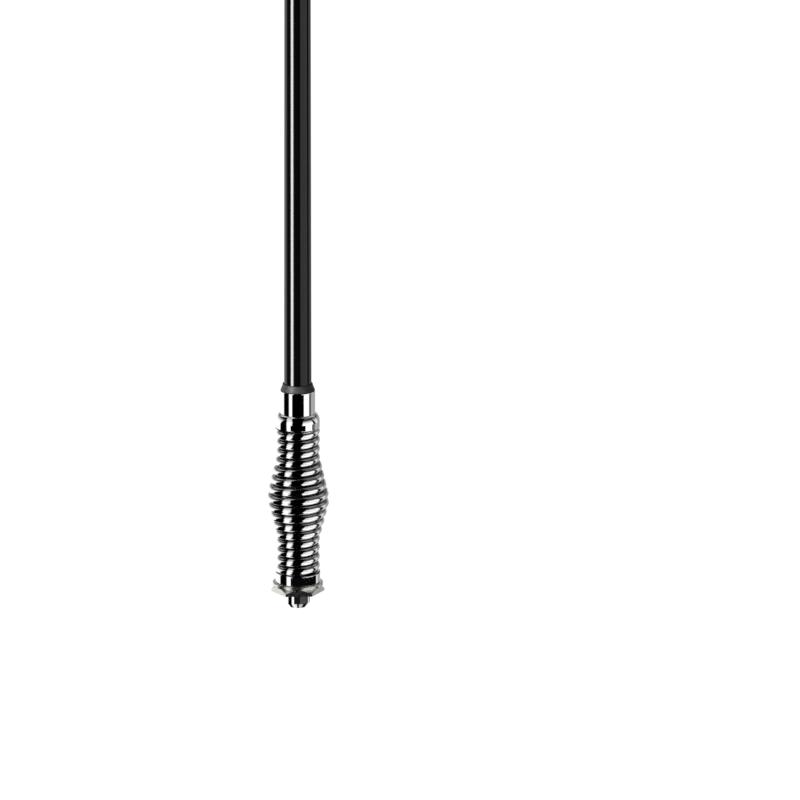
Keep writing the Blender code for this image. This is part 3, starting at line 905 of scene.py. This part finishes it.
def panel_light(graph, azimuth, elevation, panel):
    """How brightly a panel shines from a direction."""
    left_edge, right_edge, (foot, head), (soft_side, soft_foot, soft_head), strength = panel
    left = graph.slope(elevation, foot, head, *left_edge)
    right = graph.slope(elevation, foot, head, *right_edge)
    past_left = graph.math("SUBTRACT", azimuth, left)
    past_right = graph.math("SUBTRACT", azimuth, right)
    shares = [
        graph.ramp(past_left, -soft_side / 2, soft_side / 2),
        graph.ramp(past_right, soft_side / 2, -soft_side / 2),
        graph.ramp(elevation, foot - soft_foot / 2, foot + soft_foot / 2),
        graph.ramp(elevation, head + soft_head / 2, head - soft_head / 2),
    ]
    total = shares[0]
    for share in shares[1:]:
        total = graph.math("MULTIPLY", total, share)
    return graph.math("MULTIPLY", total, strength)


def make_world():
    """The panels for mirrored rays, an even light for matte surfaces and white for the camera."""
    world = bpy.data.worlds.new("studio")
    bpy.context.scene.world = world
    world.use_nodes = True
    tree = world.node_tree
    tree.nodes.clear()
    graph = Graph(tree)
    direction = graph.add("ShaderNodeTexCoord").outputs["Generated"]
    parts = graph.add("ShaderNodeSeparateXYZ", {0: direction})
    front = graph.math("MULTIPLY", parts.outputs[1], -1.0)
    azimuth = graph.math("MULTIPLY", graph.math("ARCTAN2", parts.outputs[0], front), 180 / math.pi)
    elevation = graph.math("MULTIPLY", graph.math("ARCSINE", parts.outputs[2]), 180 / math.pi)
    total = None
    for panel in PANELS.values():
        light = panel_light(graph, azimuth, elevation, panel)
        total = light if total is None else graph.math("ADD", total, light)
    path = graph.add("ShaderNodeLightPath")
    studio = graph.background(total)
    ambient = graph.background(AMBIENT_STRENGTH)
    backdrop = graph.background(BACKDROP_STRENGTH)
    unseen = graph.mix_shader(path.outputs["Is Glossy Ray"], ambient, studio)
    seen = graph.mix_shader(path.outputs["Is Camera Ray"], unseen, backdrop)
    graph.add("ShaderNodeOutputWorld", {"Surface": seen})


def make_floor():
    """A matte sheet well below the object, unseen in its mirrors and from below."""
    body = bmesh.new()
    bmesh.ops.create_grid(body, x_segments=1, y_segments=1, size=FLOOR_SIZE / 2)
    mesh = bpy.data.meshes.new("floor")
    body.to_mesh(mesh)
    body.free()
    floor = placed("floor", mesh)
    floor.location.z = FLOOR_LEVEL
    material, graph = stage_material("pale_floor")
    grey = (FLOOR_GREY, FLOOR_GREY, FLOOR_GREY, 1.0)
    matte = graph.add("ShaderNodeBsdfDiffuse", {"Color": grey}).outputs[0]
    path = graph.add("ShaderNodeLightPath")
    glow = graph.emission(graph.math("MULTIPLY", path.outputs["Is Camera Ray"], FLOOR_GLOW))
    both = graph.add("ShaderNodeAddShader", {0: matte, 1: glow}).outputs[0]
    clear = graph.add("ShaderNodeBsdfTransparent").outputs[0]
    below = graph.add("ShaderNodeNewGeometry").outputs["Backfacing"]
    graph.add("ShaderNodeOutputMaterial", {"Surface": graph.mix_shader(below, both, clear)})
    mesh.materials.append(material)
    floor.visible_glossy = False


def make_lamp():
    """The tall lamp, linked to its receivers, so that it lights nothing else."""
    data = bpy.data.lights.new("strip_lamp", "AREA")
    data.shape = "RECTANGLE"
    data.size = LAMP_WIDTH
    data.size_y = LAMP_HEAD - LAMP_FOOT
    data.energy = LAMP_RADIANCE * math.pi * data.size * data.size_y
    lamp = placed("strip_lamp", data)
    turn = Matrix.Rotation(LAMP_AZIMUTH, 4, "Z")
    place = Matrix.Translation((0, -LAMP_DISTANCE, (LAMP_FOOT + LAMP_HEAD) / 2))
    lamp.matrix_world = turn @ place @ Matrix.Rotation(math.pi / 2, 4, "X")
    lamp.visible_camera = False
    lit = bpy.data.collections.new("lit_by_strip_lamp")
    for name in LAMP_RECEIVERS:
        lit.objects.link(bpy.data.objects[name])
    lamp.light_linking.receiver_collection = lit


def make_card(name, left, right, foot, head, strength):
    """A low curved card that only mirrored rays see."""
    body = bmesh.new()
    columns = []
    for step in range(CARD_STEPS + 1):
        angle = math.radians(between(left, right, step / CARD_STEPS))
        x = CARD_DISTANCE * math.sin(angle)
        y = -CARD_DISTANCE * math.cos(angle)
        columns.append([body.verts.new((x, y, level)) for level in (foot, head)])
    for first, second in zip(columns, columns[1:]):
        body.faces.new((first[0], second[0], second[1], first[1]))
    mesh = bpy.data.meshes.new(name)
    body.to_mesh(mesh)
    body.free()
    card = placed(name, mesh)
    material, graph = stage_material(name)
    graph.add("ShaderNodeOutputMaterial", {"Surface": graph.emission(strength)})
    mesh.materials.append(material)
    card.visible_camera = False
    card.visible_diffuse = False
    card.visible_shadow = False


def make_camera():
    """Looks down so that the stud's end is seen from the base elevation, at its place in the frame."""
    focal = PIXELS_PER_METRE * CAMERA_DISTANCE
    across = (STUD_PIXEL[0] - FRAME_SIDE / 2) / focal
    down = (STUD_PIXEL[1] - FRAME_SIDE / 2) / focal
    pitch = BASE_ELEVATION - math.atan(down)
    tilt = Matrix.Rotation(math.pi / 2 - pitch, 3, "X") @ Matrix.Rotation(CAMERA_ROLL, 3, "Z")
    ray = tilt @ Vector((across, -down, -1.0)).normalized()
    turn = Matrix.Rotation(math.atan2(ray.x, ray.y), 3, "Z")
    data = bpy.data.cameras.new("camera")
    data.sensor_width = SENSOR_WIDTH
    data.lens = focal * SENSOR_WIDTH / FRAME_SIDE
    data.clip_start = CLIP_NEAR
    data.clip_end = CLIP_FAR
    camera = placed("camera", data)
    camera.matrix_world = Matrix.Translation(-(turn @ ray) * CAMERA_DISTANCE) @ (turn @ tilt).to_4x4()
    bpy.context.scene.camera = camera


make_lower_plug()
make_washer()
make_nut()
make_spring()
make_lead()
make_upper_plug()
make_ferrule()
make_seal()
make_whip_tube()
make_tip_cap()
dress_inner_pieces()
make_world()
make_floor()
make_lamp()
for card_name, card_values in CARDS.items():
    make_card(card_name, *card_values)
make_camera()
bpy.context.scene.view_settings.view_transform = "Standard"
